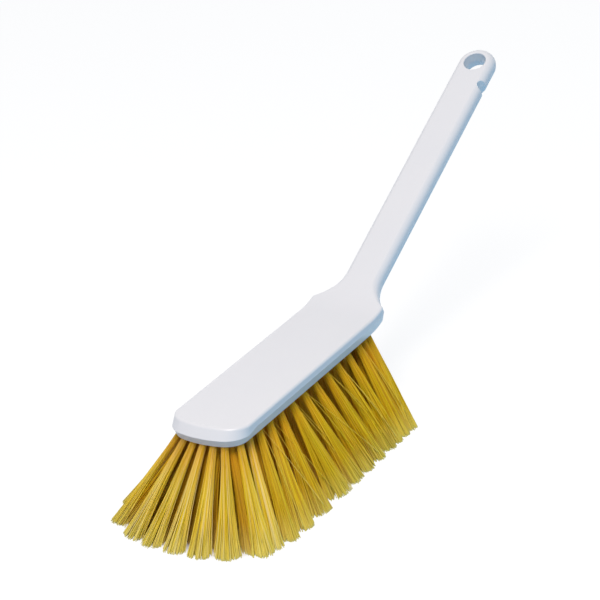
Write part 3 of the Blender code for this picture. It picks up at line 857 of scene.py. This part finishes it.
def pale_floor():
    """Floor that looks white and keeps the shadow, and throws coloured light up.

    To the rays that are seen it is grey and glows outside the tufts; under them it is a dark brown painted shade
    without glow. To those that light the broom it is bluer towards the handle's end and the notch's side, and
    glows warm under the tufts, as tufts light each other. The glow's strength is 1 less seen less outside, without
    its sign.
    """
    mat = bpy.data.materials.new("pale_floor")
    mat.use_nodes = True
    tree = mat.node_tree
    tree.nodes.clear()
    seen, outside = seen_directly(tree), outside_footprint(tree)
    # Painted shade: dark brown seen under the tufts, grey outside them
    shown = mix_node(tree, outside, SEEN_PAINTED_SHADE_UNDER, SEEN_OUTSIDE)
    bounce = mix_node(tree, across_floor(tree, BOUNCE_SLOPE, BOUNCE_START), PLAIN_BOUNCE, BLUE_BOUNCE)
    matte = node(tree, "ShaderNodeBsdfDiffuse")
    tree.links.new(mix_node(tree, seen, bounce, shown), matte.inputs["Color"])
    glow = node(tree, "ShaderNodeEmission")
    tree.links.new(mix_node(tree, seen, WARM_GLOW, SEEN_GLOW), glow.inputs["Color"])
    rest = math_node(tree, 'SUBTRACT', math_node(tree, 'SUBTRACT', 1.0, seen), outside)
    tree.links.new(math_node(tree, 'ABSOLUTE', rest), glow.inputs["Strength"])
    both = tree.nodes.new("ShaderNodeAddShader")
    tree.links.new(matte.outputs[0], both.inputs[0])
    tree.links.new(glow.outputs[0], both.inputs[1])
    tree.links.new(both.outputs[0], tree.nodes.new("ShaderNodeOutputMaterial").inputs["Surface"])
    return mat


def studio():
    """Pale floor, cool light all round that is seen as white, and one broad warm lamp over the broom."""
    corners = np.array([[-1.0, -1.0, 0.0], [1.0, -1.0, 0.0], [1.0, 1.0, 0.0], [-1.0, 1.0, 0.0]])
    floor = mesh_object("floor", FLOOR_HALF * corners, [(0, 1, 2, 3)])
    floor.data.materials.append(pale_floor())

    world = bpy.data.worlds.new("studio")
    bpy.context.scene.world = world
    world.use_nodes = True
    tree = world.node_tree
    sky = mix_node(tree, seen_directly(tree), SKY_LIGHT, SEEN_SKY)
    tree.links.new(sky, tree.nodes["Background"].inputs["Color"])

    lamp = bpy.data.lights.new("key", 'AREA')
    lamp.shape = 'DISK'
    lamp.size = LAMP_SIZE
    lamp.energy = LAMP_POWER
    lamp.color = LAMP_COLOUR
    key = bpy.data.objects.new("key", lamp)
    direction = Vector(LAMP_DIRECTION).normalized()
    key.location = direction * LAMP_DISTANCE
    key.rotation_euler = direction.to_track_quat('Z', 'Y').to_euler()
    bpy.context.scene.collection.objects.link(key)


def camera():
    """The photograph's view: turned, raised and rolled by the fitted angles, looking at a point in the broom."""
    back = Vector((math.sin(VIEW_TURN) * math.cos(VIEW_RISE), -math.cos(VIEW_TURN) * math.cos(VIEW_RISE),
                   math.sin(VIEW_RISE)))
    right = Vector((math.cos(VIEW_TURN), math.sin(VIEW_TURN), 0.0))
    up = back.cross(right)
    across = right * math.cos(VIEW_ROLL) + up * math.sin(VIEW_ROLL)
    upright = up * math.cos(VIEW_ROLL) - right * math.sin(VIEW_ROLL)
    target = Vector((FRONT_X + VIEW_ALONG, 0.0, UNDERSIDE_Z + VIEW_ABOVE))
    data = bpy.data.cameras.new("camera")
    data.sensor_width = SENSOR_WIDTH
    data.lens = LENS
    data.clip_start = CLIP_START
    obj = bpy.data.objects.new("camera", data)
    place = target + back * VIEW_DISTANCE
    obj.matrix_world = Matrix(((across.x, upright.x, back.x, place.x),
                               (across.y, upright.y, back.y, place.y),
                               (across.z, upright.z, back.z, place.z),
                               (0.0, 0.0, 0.0, 1.0)))
    bpy.context.scene.collection.objects.link(obj)
    bpy.context.scene.camera = obj


def dress_moulding(roots):
    """The moulding with its hanging hole, its notch and a blind hole at each root."""
    end = moulding_end()[0]
    moulding = moulding_skin()
    tuft_holes = drill("tuft_holes", roots[:, 0] - FRONT_X, roots[:, 1],
                       [(-BLOCK_THICKNESS + TUFT_HOLE_DEPTH, TUFT_HOLE_RADIUS),
                        (-BLOCK_THICKNESS - CUT_BEYOND, TUFT_HOLE_RADIUS)], TUFT_HOLE_SIDES)
    hole = drill("hole", end - HOLE_FROM_END, 0.0,
                 through_stations(HOLE_RADIUS, HOLE_RIM, HOLE_DRAFT), HOLE_SIDES)
    notch = drill("notch", end - NOTCH_FROM_END, -HANDLE_WIDTH / 2 - NOTCH_BEYOND_EDGE,
                  through_stations(NOTCH_RADIUS, NOTCH_RIM, NOTCH_DRAFT), NOTCH_SIDES)
    cut_and_finish(moulding, [hole, notch, tuft_holes])
    moulding.data.materials.clear()
    moulding.data.materials.append(satin_plastic(mottle_group(), scuff_group()))
    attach(moulding, "root")
    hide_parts("block_and_handle")


def dress_bristles(piece, filament):
    """Give a piece of bristles its material and body."""
    piece.data.materials.append(filament)
    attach(piece, "root")


def dress():
    """Make and place every piece."""
    tufts = sorted(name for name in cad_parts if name.startswith("tuft_"))
    ends = {name: tuft_ends(name) for name in tufts}
    extras = fill_places(ends)
    dress_moulding(np.array([ends[name][0] for name in tufts] + [place[0] for place in extras]))

    filament = golden_filament()
    halves = tip_halves(ends)
    for number, name in enumerate(tufts):
        root = ends[name][0]
        look = inner_look(root)
        if name in halves:
            # Front tufts take the paler tones as painted light, the others the deeper ones as painted shade
            tones = FRONT_PAINTED_LIGHT_TONES if root[0] < FRONT_X + FRONT_TONE_END else SIDE_PAINTED_SHADE_TONES
            look = (halves[name], TIP_DEPTH, tones)
        piece = tuft("bristles_" + name[len("tuft_"):], ends[name], FIRST_TUFT_SEED + number, *look)
        dress_bristles(piece, filament)
        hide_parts(name)
    for number, place in enumerate(extras):
        look = inner_look(place[0])
        dress_bristles(tuft(f"bristles_fill_{number + 1}", place, FIRST_FILL_SEED + number, *look), filament)
    dress_bristles(strays(ends), filament)


dress()
studio()
camera()
bpy.context.scene.view_settings.view_transform = 'Standard'
